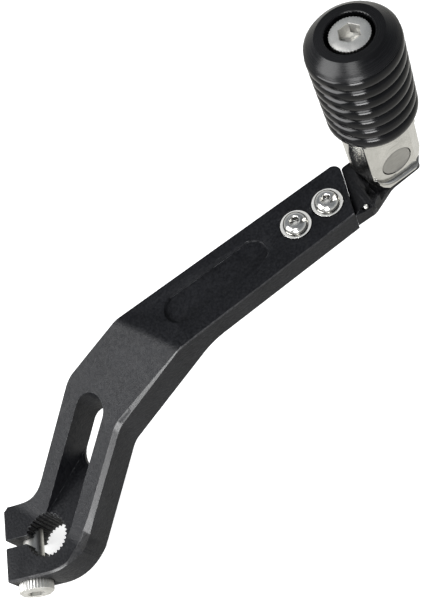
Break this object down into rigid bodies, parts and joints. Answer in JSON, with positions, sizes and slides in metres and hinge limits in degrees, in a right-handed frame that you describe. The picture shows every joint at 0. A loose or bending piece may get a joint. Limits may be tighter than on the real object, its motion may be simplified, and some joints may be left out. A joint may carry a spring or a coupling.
{
  "type": "gear shift lever",
  "caption": "Cranked black alloy gear shift lever with a slotted clamp hub, serrated bore and a sprung folding toe peg.",
  "frame": {"origin": "centre of the serrated bore at the hub's outer face", "axes": "+Z outboard along the shift shaft; +X from the shaft to the toe peg, square to +Z; +Y completes the right-handed frame"},
  "size_m": [0.168, 0.0327, 0.0954],
  "materials": {
    "black_anodised": "satin bead-blasted black anodised aluminium",
    "black_steel": "satin black",
    "stainless": "bright turned stainless",
    "plain_steel": "bright",
    "polished_steel": "satin flats, polished rounds",
    "pin_steel": "satin",
    "spring_steel": "drawn wire",
    "bronze": "plain bronze",
    "core_alloy": "turned",
    "black_gloss": "gloss black anodised",
    "black_satin_cap": "semi-gloss black anodised"
  },
  "bodies": {
    "lever": {"lever_arm": "black_anodised", "pinch_bolt": "stainless", "pinch_bolt_washer": "plain_steel", "tip_carrier": "black_steel", "carrier_screw_inner": "stainless", "carrier_screw_outer": "stainless", "carrier_washer_inner": "plain_steel", "carrier_washer_outer": "plain_steel", "pivot_bush": "bronze", "return_spring": "spring_steel", "spring_anchor_pin": "stainless"},
    "folding_tip": {"pivot_block": "polished_steel", "pivot_pin": "pin_steel", "pivot_pin_clip": "spring_steel", "thrust_washer": "bronze", "peg_base_washer": "plain_steel", "peg_core": "core_alloy", "peg_sleeve": "black_gloss", "peg_cap": "black_satin_cap", "peg_screw_washer": "plain_steel", "peg_screw": "stainless"}
  },
  "joints": [
    {"name": "tip_fold", "type": "hinge", "parent": "lever", "child": "folding_tip", "pos_m": [0.139, 0, 0.0341], "axis": [-0.1132, -0.9936, 0], "range_deg": [0, 45], "stiffness_Nm_per_rad": 0.08, "springref_deg": -68.75, "deforming": ["return_spring"]}
  ]
}
